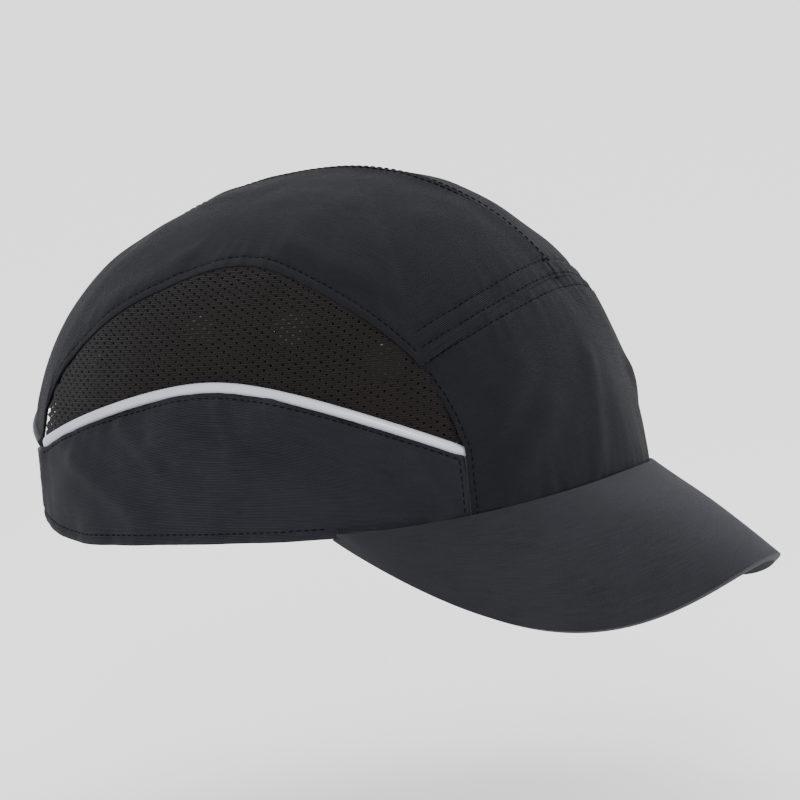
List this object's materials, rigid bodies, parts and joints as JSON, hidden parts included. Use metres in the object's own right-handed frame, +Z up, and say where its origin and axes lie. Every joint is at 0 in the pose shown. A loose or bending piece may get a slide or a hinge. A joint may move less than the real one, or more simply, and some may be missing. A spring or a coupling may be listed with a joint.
{
  "type": "bump cap",
  "caption": "Fabric baseball-style safety cap with arched brim, mesh side vents, reflective piping, rear strap and a removable hard padded insert.",
  "frame": {"origin": "centre of the head opening, on the plane of the cap's lower rim", "axes": "+Z up; the brim points along -Y; the wearer's right is -X"},
  "size_m": [0.183, 0.2743, 0.1604],
  "materials": {
    "crown_cloth": "black-charcoal plain-weave polyester, slight satin sheen",
    "spacer_mesh": "black knitted air mesh with small staggered holes",
    "reflective_piping": "silver-grey retroreflective cloth piping",
    "brim_board": "moulded polyethylene brim board",
    "brim_cloth": "charcoal polyester, matte",
    "sweatband": "black terry sweatband",
    "webbing": "black woven tape",
    "buckle": "black moulded acetal",
    "loop_pile": "black loop pile",
    "hook_tape": "black hook tape",
    "shell": "black moulded ABS, satin",
    "foam": "black closed-cell EVA foam, cloth faced"
  },
  "bodies": {
    "cap": {"front_panel": "crown_cloth", "crown_panel_right": "crown_cloth", "crown_panel_left": "crown_cloth", "side_panel_right": "crown_cloth", "side_panel_left": "crown_cloth", "mesh_panel_right": "spacer_mesh", "mesh_panel_left": "spacer_mesh", "piping_right": "reflective_piping", "piping_left": "reflective_piping", "brim_board": "brim_board", "brim_cover_top": "brim_cloth", "brim_cover_under": "brim_cloth", "sweatband": "sweatband", "centre_seam_tape": "webbing", "arch_binding": "webbing", "strap_right": "webbing", "strap_left": "webbing", "strap_buckle": "buckle", "loop_patch": "loop_pile", "loop_tab_1": "loop_pile", "loop_tab_2": "loop_pile", "loop_tab_3": "loop_pile", "loop_tab_4": "loop_pile"},
    "strap_tail": {"strap_tail": "webbing", "hook_patch": "hook_tape"},
    "insert": {"bump_shell": "shell", "pad_crown": "foam", "pad_front": "foam", "pad_rear": "foam", "pad_right": "foam", "pad_left": "foam", "hook_tab_1": "hook_tape", "hook_tab_2": "hook_tape", "hook_tab_3": "hook_tape", "hook_tab_4": "hook_tape"}
  },
  "joints": [
    {"name": "insert_release", "type": "slide", "parent": "cap", "child": "insert", "axis": [0, 0, -1], "range_m": [0, 0.13]},
    {"name": "strap_tail_peel", "type": "hinge", "parent": "cap", "child": "strap_tail", "pos_m": [-0.0021, 0.11103, 0.02], "axis": [0, 0, 1], "range_deg": [0, 100]}
  ]
}
